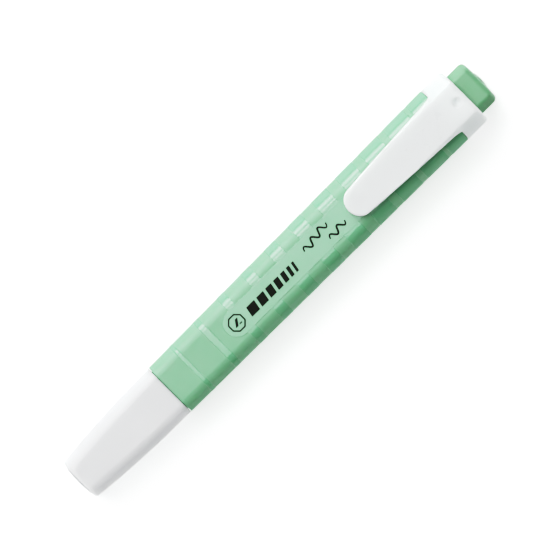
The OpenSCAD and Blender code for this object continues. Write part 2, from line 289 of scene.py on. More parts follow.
# ---------------------------------------------------------------- materials
class Finish:
    """A procedural material: a Principled shader and helpers for what feeds it."""

    def __init__(self, name, **sockets):
        self.material = bpy.data.materials.new(name)
        self.material.use_nodes = True
        tree = self.material.node_tree
        self.nodes, self.links = tree.nodes, tree.links
        self.shader = next(n for n in self.nodes if n.type == "BSDF_PRINCIPLED")
        for socket, value in sockets.items():
            self.shader.inputs[socket.replace("_", " ")].default_value = value
        self.shader.inputs["Subsurface Scale"].default_value = 1.0
        self.place = self.nodes.new("ShaderNodeTexCoord").outputs["Object"]

    def noise(self, scale, detail=3.0, stretch=(1, 1, 1), rough=0.5):
        """Noise with about scale spots to the metre, longer where stretch is below 1."""
        mapping = self.nodes.new("ShaderNodeMapping")
        mapping.inputs["Scale"].default_value = stretch
        self.links.new(self.place, mapping.inputs["Vector"])
        noise = self.nodes.new("ShaderNodeTexNoise")
        noise.inputs["Scale"].default_value = scale
        noise.inputs["Detail"].default_value = detail
        noise.inputs["Roughness"].default_value = rough
        self.links.new(mapping.outputs["Vector"], noise.inputs["Vector"])
        return noise.outputs["Fac"]

    def ramp(self, source, low, high, start=0.3, end=0.7):
        """Colour or grey that runs from low to high while source runs from start to end."""
        ramp = self.nodes.new("ShaderNodeValToRGB")
        for element, place, value in zip(ramp.color_ramp.elements, (start, end), (low, high)):
            element.position = place
            element.color = (*value, 1) if isinstance(value, tuple) else (value, value, value, 1)
        self.links.new(source, ramp.inputs["Fac"])
        return ramp.outputs["Color"]

    def feed(self, source, socket):
        self.links.new(source, self.shader.inputs[socket])

    def bump(self, *layers):
        """Stacks bump layers, each (source, depth in metres)."""
        normal = None
        for source, depth in layers:
            bump = self.nodes.new("ShaderNodeBump")
            bump.inputs["Strength"].default_value = 1.0
            bump.inputs["Distance"].default_value = depth
            self.links.new(source, bump.inputs["Height"])
            if normal is not None:
                self.links.new(normal, bump.inputs["Normal"])
            normal = bump.outputs["Normal"]
        self.links.new(normal, self.shader.inputs["Normal"])


def shade(colour, factor):
    return tuple(min(1.0, c * factor) for c in colour)


MINT = (0.209, 0.424, 0.263)
MINT_DEEP = (0.176, 0.408, 0.242)
PLUG_GREEN = (0.186, 0.37, 0.223)
WHITE = (0.84, 0.9, 0.885)
# How far light spreads inside the plastics: distance for red, green and blue, in metres
MINT_SPREAD = (0.0003, 0.0008, 0.0005)
WHITE_SPREAD = (0.0035, 0.0035, 0.0034)
WAVE_DEPTH = 1.2e-5  # of the flow waves, in metres


def moulded(name, colour, roughness, grain, milk, spread, **sockets):
    """Moulded plastic: faint colour drift, uneven gloss, spark grain and long flow waves.

    grain is the depth of the spark grain in metres, and milk the share of light that goes in."""
    finish = Finish(name, Subsurface_Weight=milk, Subsurface_Radius=spread, **sockets)
    drift = finish.noise(70, detail=2, stretch=(0.4, 1, 1))
    finish.feed(finish.ramp(drift, shade(colour, 0.975), shade(colour, 1.02)), "Base Color")
    gloss = finish.noise(450, detail=4)
    finish.feed(finish.ramp(gloss, roughness * 0.88, roughness * 1.12), "Roughness")
    fine = finish.noise(9000, detail=2)
    wave = finish.noise(160, detail=1, stretch=(0.5, 1, 1))
    finish.bump((wave, WAVE_DEPTH), (fine, grain))
    return finish.material


def mint_satin():
    return moulded("mint_satin", MINT, 0.4, 2.2e-6, 0.3, MINT_SPREAD, Specular_IOR_Level=0.45)


def mint_polished():
    return moulded("mint_polished", MINT_DEEP, 0.18, 2e-7, 0.3, MINT_SPREAD, Specular_IOR_Level=0.75)


def plug_green():
    return moulded("plug_green", PLUG_GREEN, 0.36, 8e-7, 0.4, MINT_SPREAD, Specular_IOR_Level=0.3)


# Painted light: the cap is the same white plastic as the clip, made 5 % brighter than WHITE to make up for
# light that falls short on it.
def cap_white_painted_light():
    return moulded("cap_white_painted_light", shade(WHITE, 1.05), 0.36, 8e-7, 1.0, WHITE_SPREAD)


# Painted shade: the clip is the same white plastic as the cap, made 2.5 % darker than WHITE to tone down
# its brightly lit facets.
def clip_white_painted_shade():
    return moulded("clip_white_painted_shade", shade(WHITE, 0.975), 0.3, 6e-7, 1.0, WHITE_SPREAD)


# Painted shade: the inner cap is a grey at half the brightness of WHITE, so the edge of its button at the
# cap's end shows as a dark shaded line.
def liner_grey_painted_shade():
    return moulded("liner_grey_painted_shade", shade(WHITE, 0.5), 0.45, 6e-7, 1.0, WHITE_SPREAD)


def print_ink():
    """Pad-printed ink: nearly black, slightly uneven where it is thin."""
    finish = Finish("print_ink", Specular_IOR_Level=0.15)
    patch = finish.noise(1500, detail=4)
    finish.feed(finish.ramp(patch, (0.008, 0.011, 0.007), (0.014, 0.019, 0.012)), "Base Color")
    finish.feed(finish.ramp(patch, 0.45, 0.65), "Roughness")
    finish.bump((finish.noise(12000, detail=2), 1.5e-6))
    return finish.material


def felt():
    """Ink-soaked felt: fine fibres along the nib, darker between them."""
    finish = Finish("felt", Roughness=0.85, Sheen_Weight=0.3, Sheen_Roughness=0.5,
                    Subsurface_Weight=0.15, Subsurface_Radius=MINT_SPREAD)
    fibres = finish.noise(5200, detail=5, stretch=(0.12, 1, 1), rough=0.65)
    soak = finish.noise(380, detail=2)
    wet = finish.ramp(soak, (0.20, 0.52, 0.30), (0.27, 0.62, 0.38))
    strand = finish.ramp(fibres, (0.62, 0.7, 0.64), (1.0, 1.0, 1.0), 0.35, 0.6)
    blend = finish.nodes.new("ShaderNodeMix")
    blend.data_type = "RGBA"
    blend.blend_type = "MULTIPLY"
    blend.inputs["Factor"].default_value = 1.0
    finish.links.new(wet, blend.inputs["A"])
    finish.links.new(strand, blend.inputs["B"])
    finish.feed(blend.outputs["Result"], "Base Color")
    finish.bump((fibres, 6e-5), (finish.noise(14000, detail=3), 1.2e-5))
    return finish.material


def fibre_core():
    """Bundled polyester fibres of the reservoir, soaked with ink."""
    finish = Finish("fibre_core", Roughness=0.8, Sheen_Weight=0.2)
    fibres = finish.noise(7000, detail=4, stretch=(0.04, 1, 1), rough=0.6)
    finish.feed(finish.ramp(fibres, (0.24, 0.56, 0.34), (0.46, 0.78, 0.56)), "Base Color")
    finish.bump((fibres, 5e-5))
    return finish.material


def clear_film():
    """Thin wrapped film: glossy, nearly clear, with long creases."""
    finish = Finish("clear_film", Roughness=0.12, Transmission_Weight=0.85, IOR=1.45)
    tint = finish.noise(300, detail=2)
    finish.feed(finish.ramp(tint, (0.86, 0.92, 0.9), (0.96, 0.98, 0.98)), "Base Color")
    finish.bump((finish.noise(700, detail=3, stretch=(0.15, 1, 1)), 3e-5))
    return finish.material


# ---------------------------------------------------------------- camera, light and floor
def make_camera():
    """Straight down on the clip side, with the pen on the rising diagonal of the picture."""
    view_width = 127.8 * MM
    aim = Vector((0.09, -0.04, MID_FRONT)) * MM
    distance = 2.5
    camera = bpy.data.cameras.new("camera")
    camera.sensor_width = 36
    camera.lens = camera.sensor_width * distance / view_width
    camera.clip_end = 10
    obj = bpy.data.objects.new("camera", camera)
    obj.location = aim + Vector((0, 0, distance))
    obj.rotation_euler = (0, 0, math.radians(-45))
    bpy.context.scene.collection.objects.link(obj)
    bpy.context.scene.camera = obj


def softbox(name, place, aim, size, power, colour=(1, 1, 1)):
    """Rectangular area light at place, turned towards aim."""
    light = bpy.data.lights.new(name, "AREA")
    light.shape = "RECTANGLE"
    light.size, light.size_y = size
    light.energy = power
    light.color = colour
    obj = bpy.data.objects.new(name, light)
    obj.location = place
    obj.rotation_euler = (Vector(aim) - Vector(place)).to_track_quat("-Z", "Y").to_euler()
    bpy.context.scene.collection.objects.link(obj)


# Brightness in the scene and what it is shown as: a short toe, even mid-tones, then a soft shoulder
TONE_CURVE = ((0.05, 0.018), (0.1, 0.05), (0.15, 0.098), (0.2, 0.152), (0.3, 0.275), (0.4, 0.395),
              (0.55, 0.545), (0.7, 0.655), (0.85, 0.735), (1.0, 0.79), (1.2, 0.85), (1.4, 0.9),
              (1.55, 0.95), (1.65, 0.985))
TONE_WHITE = 1.75


def make_tone():
    view = bpy.context.scene.view_settings
    view.view_transform = "Standard"
    view.use_curve_mapping = True
    mapping = view.curve_mapping
    mapping.white_level = (TONE_WHITE, TONE_WHITE, TONE_WHITE)
    for bright, shown in TONE_CURVE:
        mapping.curves[3].points.new(bright / TONE_WHITE, shown)
    mapping.update()


def round_pen(angle, reach):
    """Place in the plane across the pen; 0 degrees is level on the +Y side and 90 straight above."""
    return 0, reach * math.cos(math.radians(angle)), reach * math.sin(math.radians(angle))


COOL_WHITE = (0.985, 0.99, 1)
SKY_WHITE = (0.95, 0.98, 1)


def make_lights():
    """Soft light from above and from the +Y side, so that each facet has its own tone."""
    centre = (0, 0, 0.005)
    softbox("overhead", round_pen(81.5, 1.5), centre, (0.7, 0.42), 7.3)
    softbox("key", round_pen(45, 1.5), centre, (0.7, 0.95), 6.9, COOL_WHITE)
    softbox("glint", round_pen(45, 1.45), centre, (0.9, 0.12), 2.2)
    softbox("side", round_pen(5, 1.5), centre, (0.7, 0.34), 1.5, SKY_WHITE)
    softbox("fill", round_pen(45, 1.7), centre, (2.6, 1.8), 41, COOL_WHITE)
    softbox("shade_side", round_pen(135, 1.7), centre, (2.6, 1.8), 3.2)
    softbox("cap_end", (-1.4, 0, 0.5), centre, (0.6, 0.8), 2)
    world = bpy.data.worlds.new("studio")
    world.use_nodes = True
    back = world.node_tree.nodes["Background"]
    back.inputs["Color"].default_value = (1, 1, 1, 1)
    back.inputs["Strength"].default_value = 0.03
    bpy.context.scene.world = world


def make_floor():
    """Plain white table, just under the pen; a little light of its own keeps the shadow faint."""
    shape = Shape()
    reach, level = 1500, -0.02
    corners = [(-reach, -reach), (reach, -reach), (reach, reach), (-reach, reach)]
    shape.face([shape.bm.verts.new((x * MM, y * MM, level * MM)) for x, y in corners])
    finish = Finish("floor_white", Base_Color=(0.93, 0.93, 0.93, 1), Roughness=0.9,
                    Specular_IOR_Level=0.1, Emission_Color=(1, 1, 1, 1), Emission_Strength=0.85)
    shape.done("floor", [finish.material])


# ---------------------------------------------------------------- barrel
SATIN, POLISHED = 0, 1  # material slots of the barrel
# Bands: the first one's distance from the joint, their pitch, and a width that grows towards the clip
BAND_COUNT = 11
BAND_FIRST = 6.67
BAND_PITCH = 7.69
BAND_WIDTH = 0.93
BAND_GROWTH = 0.62
# Steps up the side of a band: distance before its start, share of its height
BAND_RAMP = [(0.09, 0.0), (0.06, 0.12), (0.02, 0.75), (-0.03, 1.0)]


def band_stations():
    """(place, share raised) of every band's ramps, up to the clip ring."""
    stations = []
    for i in range(BAND_COUNT):
        start = X_JOINT + BAND_FIRST + BAND_PITCH * i
        end = start + BAND_WIDTH + BAND_GROWTH * i
        stations += [(start - before, share) for before, share in BAND_RAMP]
        stations += [(end + before, share) for before, share in reversed(BAND_RAMP)]
    return [(x, share) for x, share in stations if x < X_RING - 0.05]


# Half-widths and half-heights in front of the barrel's shoulder
NOSE = (3.2, 2.4)
LAND = (4.3, 3.2)
FEED = (4.7, 2.95)
SOCKET = (2.33, 1.63)
VENT_HALF, VENT_DEEP = 0.5, 0.32
# Small roundings of the nose, of the octagon that the cap sits on, and of the shoulder and the cap's lip
NOSE_EDGE = 0.1
SEAT_EDGE = 0.3
JOINT_EDGE = 0.12
# Seam in front of the clip ring
SEAM_WIDTH = 0.14
SEAM_DEEP = 0.4


def socket_outline():
    """Rectangular hole for the nib, with an air channel in the middle of its top and bottom."""
    (y, z), v, d = SOCKET, VENT_HALF, VENT_DEEP
    points = [(y, -z), (y, z), (v, z), (v, z + d), (-v, z + d), (-v, z),
              (-y, z), (-y, -z), (-v, -z), (-v, -z - d), (v, -z - d), (v, -z)]
    return [(a, MID_FRONT + b) for a, b in points]


def add_neck(shape):
    """Nose, land and the octagon that the cap sits on; returns its first and last ring."""
    def nose(inset):
        return oval(NOSE[0] - inset, NOSE[1] - inset, MID_FRONT)

    def land(inset):
        return oval(LAND[0] - inset, LAND[1] - inset, MID_FRONT)

    def seat(inset):
        return even_octagon(NECK_HALF - inset, NECK_TALL - inset, MID_FRONT, NECK_FACET, NECK_R)

    stations = rounded(X_NOSE, NOSE_EDGE, nose)
    stations += [(X_LAND - 0.25, land(0.03)), (X_LAND, land(0)), (X_NECK - 0.04, land(0))]
    stations += rounded(X_NECK, SEAT_EDGE, seat)
    stations += [(X_JOINT, seat(0))]
    return shape.tube(stations)


def add_grip(shape):
    """Banded grip and the seam behind it; returns its first and last ring."""
    shoulder = rounded(X_JOINT, JOINT_EDGE, lambda inset: barrel_outline(X_JOINT, 0, inset))
    first, previous = shape.tube(shoulder)
    last_share = 0.0
    for x, share in band_stations() + [(X_RING - SEAM_WIDTH - 0.06, 1.0)]:
        ring = shape.ring(x, barrel_outline(x, share))
        shape.wall(previous, ring, POLISHED if max(share, last_share) > 0.5 else SATIN)
        previous, last_share = ring, share
    x_seam = X_RING - SEAM_WIDTH
    for x, inset in ((x_seam, 0.03), (x_seam + 0.01, SEAM_DEEP), (X_RING, SEAM_DEEP)):
        ring = shape.ring(x, barrel_outline(x, 1.0, inset))
        shape.wall(previous, ring, POLISHED)
        previous = ring
    return first, previous


def make_barrel(satin, polished):
    shape = Shape()
    nose_ring, neck_end = add_neck(shape)
    grip_start, grip_end = add_grip(shape)
    shape.wall(neck_end, grip_start)
    tail = even_octagon(TAIL_HALF, TAIL_TALL, MID_REAR, TAIL_FACET, BORE_R)
    bore = even_octagon(BORE_HALF, BORE_TALL, MID_REAR, BORE_FACET, BORE_R)
    throat = even_octagon(BORE_HALF - 0.05, BORE_TALL - 0.05, MID_FRONT, BORE_FACET, BORE_R)
    feed = oval(*FEED, MID_FRONT)
    tail_start, feed_end = shape.tube([(X_RING, tail), (X_TAIL, tail), (X_TAIL, bore),
                                       (X_INSERT - 0.5, bore), (X_CORE, throat), (X_CORE, feed),
                                       (X_FEED, feed)])
    shape.wall(grip_end, tail_start)
    socket = socket_outline()
    socket_back, socket_front = shape.tube([(X_FEED, socket), (X_NOSE, socket)])
    shape.fill(feed_end, socket_back)
    shape.fill(nose_ring, socket_front)
    belongs(shape.done("barrel_shell", [satin, polished]), "barrel", "mint_barrel", "barrel")


def pill(radius, run, inset, count=24):
    """Outline of a bar with round ends; the first round end is centred on 0, 0."""
    r = radius - inset
    points = []
    for start, x in ((-90, run), (90, 0)):
        for j in range(count + 1):
            a = math.radians(start + 180 * j / count)
            points.append((x + r * math.cos(a), r * math.sin(a)))
    return points


def on_front(x, y, lift):
    """Point that stands lift above the barrel's sloping front."""
    return Vector((x, y, barrel_front(x) + lift)) * MM


PANEL_HALF = 3.27
X_PANEL = X_JOINT + 18.27
X_PANEL_END = X_RING - 3
# Steps up the panel's edge: height above the barrel's front, inset
PANEL_EDGE = [(-0.3, 0), (0.05, 0), (0.06, 0.005), (0.068, 0.018), (PANEL_RAISE, 0.035)]


def make_panel(polished):
    """Flat label panel with round ends, in the middle of the front and on under the clip."""
    run = X_PANEL_END - X_PANEL - 2 * PANEL_HALF
    shape = Shape()
    rings = []
    for lift, inset in PANEL_EDGE:
        rings.append([shape.bm.verts.new(on_front(X_PANEL + PANEL_HALF + x, y, lift))
                      for x, y in pill(PANEL_HALF, run, inset)])
    for a, b in zip(rings, rings[1:]):
        shape.wall(a, b)
    shape.face(rings[-1])
    shape.face(rings[0][::-1])
    belongs(shape.done("label_panel", [polished], 60), "barrel", "mint_barrel")


# ---------------------------------------------------------------- printed marks
PRINT_LIFT = PANEL_RAISE + 0.012
PRINT_BASE = PANEL_RAISE - 0.02
X_BADGE = X_JOINT + 21.5
BADGE_OUTER, BADGE_INNER = 2.2, 1.84
# Badge's slanted stroke and its foot: corners around the badge's middle
BADGE_STROKE = ((-0.95, -0.75), (-0.2, -0.75), (0.95, 0.85), (0.2, 0.85))
BADGE_FOOT = ((0.2, -0.75), (1.05, -0.75), (1.05, -0.48), (0.4, -0.48))
X_BARS = X_JOINT + 25.0
BAR_WIDTHS = (2.5, 2.15, 1.8, 1.5, 1.2, 0.9, 0.65)
BAR_GAP = 0.72
BAR_LOW, BAR_HIGH = -1.5, 0.95
# Waves: start and end from the joint, number of swings, height and pen width
WAVES = (((43.9, 0.55), (51.9, 1.9), 3, 0.8, 0.46),
         ((50.1, -1.55), (55.4, -0.75), 2, 0.72, 0.46))


def stamp(shape, outline):
    """One printed patch: a closed outline on the panel, as thin as a film of ink."""
    top = [shape.bm.verts.new(on_front(x, y, PRINT_LIFT)) for x, y in outline]
    base = [shape.bm.verts.new(on_front(x, y, PRINT_BASE)) for x, y in outline]
    shape.face(top)
    shape.face(base[::-1])
    shape.wall(top, base)


def slanted_bar(x, y_low, y_high, width, slant=0.45):
    return [(x, y_low), (x + width, y_low), (x + width + slant, y_high), (x + slant, y_high)]


def wave(shape, start, end, swings, height, width, taper=0.35):
    """Printed wavy pen stroke from start to end, thinner at its ends."""
    count = 16 * swings
    run = Vector(end) - Vector(start)
    direction = run.normalized()
    across = Vector((-direction.y, direction.x))
    turn = 2 * math.pi * swings
    rows = []
    for i in range(count + 1):
        t = i / count
        middle = Vector(start) + run * t + across * height * math.sin(turn * t)
        half = width / 2 * (1 - taper * abs(2 * t - 1) ** 3)
        slope = math.atan(turn * height * math.cos(turn * t) / run.length)
        normal = across * math.cos(slope) - direction * math.sin(slope)
        left, right = middle + normal * half, middle - normal * half
        rows.append([shape.bm.verts.new(on_front(point.x, point.y, lift))
                     for point, lift in ((left, PRINT_LIFT), (right, PRINT_LIFT),
                                         (right, PRINT_BASE), (left, PRINT_BASE))])
    for before, after in zip(rows, rows[1:]):
        shape.wall(before, after)
    shape.face(rows[0])
    shape.face(rows[-1][::-1])


def add_badge(shape):
    """Octagon ring with a slanted stroke and a short foot in it."""
    corners = [math.radians(22.5 + 45 * k) for k in range(8)]
    loops = []
    for r, lift in ((BADGE_OUTER, PRINT_BASE), (BADGE_OUTER, PRINT_LIFT),
                    (BADGE_INNER, PRINT_LIFT), (BADGE_INNER, PRINT_BASE)):
        loops.append([shape.bm.verts.new(on_front(X_BADGE + r * math.cos(a), r * math.sin(a), lift))
                      for a in corners])
    for a, b in zip(loops, loops[1:] + loops[:1]):
        shape.wall(a, b)
    for outline in (BADGE_STROKE, BADGE_FOOT):
        stamp(shape, [(X_BADGE + x, y) for x, y in outline])


def make_marks(ink):
    """Printed marks on the label panel: an octagon badge, narrowing bars and two waves."""
    shape = Shape()
    add_badge(shape)
    x = X_BARS
    for width in BAR_WIDTHS:
        stamp(shape, slanted_bar(x, BAR_LOW, BAR_HIGH, width))
        x += width + BAR_GAP
    for start, end, swings, height, width in WAVES:
        wave(shape, (X_JOINT + start[0], start[1]), (X_JOINT + end[0], end[1]), swings, height, width)
    belongs(shape.done("print_marks", [ink], 60), "barrel", "mint_barrel")


# ---------------------------------------------------------------- clip: ring and spring arm in one moulding
RING_TOP = RING_HIGH.z
RING_HALF = RING_HIGH.y
RING_FACET = 3.43
FLAT_HALF = RING_HALF - RING_FACET
ARM_TIP = ARM_LOW.x
ARM_THICK = 1.35
ARM_DROP = 0.45  # of the arm's front, from the ring to the tip
CREASE = 0.18  # half-width of the bend along the ring's facet lines
CREASE_LINES = 0.22  # half-width of the close mesh lines there
TIP_LENGTH = 3.3
TIP_HALF = 3.6
# The arm widens by WIDEN_HALF on each side in WIDEN_LENGTH behind its tip, then flares at its root
WIDEN_LENGTH = 21
WIDEN_HALF = 1.25
WIDEN_BOW = 0.85  # below 1 the arm's sides bow outwards
FLARE_LENGTH = 2.4
FLARE_HALF = 0.3
FILLET = 0.43
EDGE = 0.32
EDGE_STEPS = 5
UNDER_EDGE = 0.12
RING_BACK_R = 0.3
RING_END_R = 1.0
NUB_CLEAR = 0.1
NUB_SINK = 0.03  # of the nub's root in the arm
NUB_ROOT_R = 1.5
# Nub's rounded end: height above its end, radius
NUB_PROFILE = [(0, 0.95), (0.05, 1.1), (0.15, 1.2)]
DIMPLE_R = 1.2
DIMPLE_DEEP = 0.6
DIMPLE_SOFT = 0.14
X_DIMPLE = X_STUB - 2.4
# Distances from the middle of the dimple at which the mesh has a line
DIMPLE_LINES = (0.25, 0.5, 0.75, 0.95, 1.1, 1.2, 1.3, 1.39)


def soft_step(value, width):
    """0 below -width, value above width, and a smooth bend between them."""
    if value <= -width:
        return 0.0
    return value if value >= width else (value + width) ** 2 / (4 * width)


def arm_half(x):
    """Half-width of the arm behind its round tip, with its flare but without the notch's fillet."""
    past = max(0.0, x - ARM_TIP - TIP_LENGTH)
    flare = max(0.0, (x - X_RING + FLARE_LENGTH) / FLARE_LENGTH)
    return TIP_HALF + WIDEN_HALF * (past / WIDEN_LENGTH) ** WIDEN_BOW + FLARE_HALF * flare ** 2


def arm_side():
    """(x, y, heading from the pen's axis) along the arm's +Y side, from its tip round the notch."""
    line = []
    for i in range(19):
        a = math.radians(5 * i)
        x, y = ARM_TIP + TIP_LENGTH * (1 - math.cos(a)), TIP_HALF * math.sin(a)
        line.append((x, y, math.atan2(TIP_HALF * math.cos(a), TIP_LENGTH * math.sin(a))))
    stops = [mix(ARM_TIP + TIP_LENGTH, X_RING - FLARE_LENGTH, i / 16) for i in range(1, 17)]
    stops += [mix(X_RING - FLARE_LENGTH, X_RING - FILLET, i / 6) for i in range(1, 7)]
    line += [(x, arm_half(x), math.atan((arm_half(x) - arm_half(x - 0.01)) / 0.01)) for x in stops]
    x0, y0, a0 = line[-1]
    radius = (X_RING - x0) / (1 - math.sin(a0))
    for i in range(1, 9):
        a = mix(a0, math.pi / 2, i / 8)
        line.append((x0 + radius * (math.sin(a) - math.sin(a0)),
                     y0 + radius * (math.cos(a0) - math.cos(a)), a))
    return line


def clip_top(x, y, inset=0.0):
    """Height of the clip's front: flat in the middle, sloping down past the ring's facet lines."""
    drop = ARM_DROP * max(0.0, X_RING - x) / (X_RING - ARM_TIP)
    return RING_TOP - drop - inset - soft_step(abs(y) - FLAT_HALF + FLAT_LOSS * inset, CREASE)


def dimpled(x, y):
    """Where a point of the ring's front goes: mesh lines near the dimple bend into circles."""
    dx, dy = x - X_DIMPLE, y
    square, reach = max(abs(dx), abs(dy)), DIMPLE_LINES[-1]
    if square < 1e-6:
        return x, y, DIMPLE_DEEP
    if square > reach - 1e-6:
        return x, y, 0.0
    pull = square / math.hypot(dx, dy)
    if square > DIMPLE_R:
        pull = mix(pull, 1.0, (square - DIMPLE_R) / (reach - DIMPLE_R))
    dx, dy = dx * pull, dy * pull
    deep = DIMPLE_DEEP * soft_step(1 - (dx * dx + dy * dy) / DIMPLE_R ** 2, DIMPLE_SOFT)
    return X_DIMPLE + dx, dy, deep


def across_places(half):
    """Places across the clip's front from +half to -half, closest at the dimple and the facet lines.

    Where the arm is too narrow for the facet lines, the same lines are drawn together inside it."""
    crease = min(FLAT_HALF, half * 0.86)
    soft = min(CREASE_LINES, (half - crease) * 0.8)
    share = (crease - soft) / (FLAT_HALF - CREASE_LINES)
    side = [0.0] + [d * share for d in DIMPLE_LINES]
    side += [mix(DIMPLE_LINES[-1] * share, crease - soft, i / 4) for i in range(1, 5)]
    side += [mix(crease - soft, crease + soft, i / 4) for i in range(1, 5)]
    side += [mix(crease + soft, half, i / 3) for i in range(1, 4)]
    return side[::-1] + [-y for y in side[1:]]


def ring_back(inset):
    """Outline of the ring from the -Y end of its front, round its back, to the +Y end."""
    loss = FACET_LOSS * inset
    outline = octagon(RING_HALF - inset, inset, RING_TOP - inset, RING_FACET - loss, REAR_FACET - loss,
                      RING_BACK_R)
    corner = ARC + 1
    return outline[3 * corner:] + outline[:corner]


def corner_curve(start, corner, end, count=5):
    """Points of a smooth rounding from start to end that heads for the corner between them."""
    shares = [i / count for i in range(count + 1)]
    return [(1 - t) ** 2 * start + 2 * t * (1 - t) * corner + t * t * end for t in shares]


def arm_column(x, y, heading):
    """Points across the arm's +Y edge at one place: front, rounding, side, and start of the underside.

    The side goes straight down, and round the notch it turns square to the ring's facet."""
    slope = (clip_top(x, y + 0.05) - clip_top(x, y - 0.05)) / 0.1 if y > 1 else 0.0
    outward = Vector((-math.sin(heading), math.cos(heading), math.cos(heading) * slope)).normalized()
    turn = min(1.0, max(0.0, (heading - 0.25) / 1.2)) if x > X_RING - 1 else 0.0
    inward = Vector((0, slope, -1)).normalized()
    down = Vector((0, 0, -1)).lerp(inward, turn).normalized()
    corner = Vector((x, y, clip_top(x, y)))
    points = corner_curve(corner - EDGE * outward, corner, corner + EDGE * down)
    base = min(clip_top(x, 0) - ARM_THICK, corner.z - 0.6)
    low = points[-1]
    points.append(Vector((low.x, low.y, base + UNDER_EDGE)))
    points.append(Vector((min(low.x + UNDER_EDGE * math.sin(heading), X_RING),
                          low.y - UNDER_EDGE * math.cos(heading), base)))
    return points


def make_arm(shape):
    """Arm of the clip; returns its front's last row and its last columns on both sides."""
    def vert(point):
        return shape.bm.verts.new(Vector(point) * MM)

    def strip(a, b):
        """Faces between two rows of points, some of which may be the same point."""
        for i in range(len(a) - 1):
            corners = list(dict.fromkeys([a[i], a[i + 1], b[i + 1], b[i]]))
            if len(corners) > 2:
                shape.face(corners)

    before = None
    for x, y, heading in arm_side():
        points = arm_column(x, y, heading)
        right = [vert(p) for p in points]
        left = [vert((p.x, -p.y, p.z)) for p in points] if y > 0.01 else right
        places = across_places(points[0].y)
        if y > 0.01:
            front = [vert((points[0].x, place, clip_top(points[0].x, place))) for place in places[1:-1]]
            front = [right[0]] + front + [left[0]]
        else:
            front = [right[0]] * len(places)
        if before:
            strip(before[0], front)
            strip(before[1], right)
            strip(before[2], left)
            strip([before[1][-1], before[2][-1]], [right[-1], left[-1]])
        before = (front, right, left)
    return before


def add_ring_edge(shape, left, right):
    """Rounded front edge of the ring, between the arm's last columns; returns its first and last row."""
    sharp, drawn_in = ring_back(0), ring_back(EDGE)
    rows = []
    for i in range(EDGE_STEPS + 1):
        t = i / EDGE_STEPS
        outline = [(mix(y, v, t * t), mix(z, w, t * t)) for (y, z), (v, w) in zip(sharp, drawn_in)]
        rows.append(shape.ring(X_RING + EDGE * (1 - t) ** 2, outline))
    for i in range(EDGE_STEPS):
        a = [left[i]] + rows[i] + [right[i]]
        b = [left[i + 1]] + rows[i + 1] + [right[i + 1]]
        for j in range(len(a) - 1):
            shape.face([a[j], a[j + 1], b[j + 1], b[j]])
    return rows[0], rows[-1]


def add_ring(shape, front, start_row):
    """Ring behind its front edge: its length with the dimple, then its rounded rear edge."""
    x_start = X_RING + EDGE
    places = across_places(front[0].co.y / MM)
    runs = [mix(x_start, X_DIMPLE - DIMPLE_LINES[-1], i / 4) for i in range(1, 5)]
    runs += [X_DIMPLE - d for d in DIMPLE_LINES[-2::-1]] + [X_DIMPLE] + [X_DIMPLE + d for d in DIMPLE_LINES]
    stations = [(x, 0.0) for x in runs]
    stations += [(X_STUB - RING_END_R * (1 - math.sin(a)), RING_END_R * (1 - math.cos(a)))
                 for a in [math.radians(90 * i / 9) for i in range(10)]]
    previous = front + start_row
    for x, inset in stations:
        row = []
        for y in places:
            px, py, deep = dimpled(x, y) if inset == 0 else (x, y, 0.0)
            row.append(shape.bm.verts.new((px * MM, py * MM, (clip_top(px, py, inset) - deep) * MM)))
        row += shape.ring(x, ring_back(inset))
        shape.wall(previous, row)
        previous = row
    return previous


def add_nub(shape):
    """Round nub under the arm's tip, just clear of the label panel."""
    x_nub = ARM_TIP + TIP_LENGTH
    z_nub = barrel_front(x_nub) + PANEL_RAISE + NUB_CLEAR
    z_root = clip_top(x_nub, 0) - ARM_THICK + NUB_SINK
    profile = [(z_nub + rise, r) for rise, r in NUB_PROFILE] + [(z_root, NUB_ROOT_R)]
    loops = []
    for z, r in profile:
        loops.append([shape.bm.verts.new(((x_nub + r * math.cos(a)) * MM, r * math.sin(a) * MM, z * MM))
                      for a in [math.radians(15 * i) for i in range(24)]])
    for a, b in zip(loops, loops[1:]):
        shape.wall(a, b)
    shape.face(loops[0])
    shape.face(loops[-1])


def make_clip(white):
    shape = Shape()
    front, right, left = make_arm(shape)
    start_row, edge_row = add_ring_edge(shape, left, right)
    rear = add_ring(shape, front, start_row)

    # Hole through the ring for the barrel's tail, with a lip behind the tail
    hole = even_octagon(TAIL_HALF + 0.03, TAIL_TALL + 0.03, MID_REAR, TAIL_FACET, BORE_R)
    lip = even_octagon(BORE_HALF + 0.06, BORE_TALL + 0.06, MID_REAR, BORE_FACET, BORE_R)
    x_lip = X_TAIL + 0.02
    lip_back, lip_front = shape.tube([(X_STUB, lip), (x_lip, lip)])
    hole_back, hole_front = shape.tube([(x_lip, hole), (X_RING, hole)])
    shape.fill(rear, lip_back)
    shape.fill(lip_front, hole_back)
    outer = [left[EDGE_STEPS]] + edge_row + right[EDGE_STEPS:] + left[:EDGE_STEPS:-1]
    shape.fill(outer, hole_front)
    add_nub(shape)

    clip = shape.done("clip_moulding", [white])
    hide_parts("clip_ring", "clip_arm")
    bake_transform(clip)


# ---------------------------------------------------------------- end plug, cap and inner cap
PLUG_HOLLOW = (4.3, 2.55)
PLUG_END_WALL = 2.0
STUB_FRONT_R = 1.5
STUB_DOME = 0.2  # crown of the stub's end
STUB_END_R = 1.3
PAD_R = 2.25
PAD_SINK = 0.05  # of the pad's foot in the stub's end


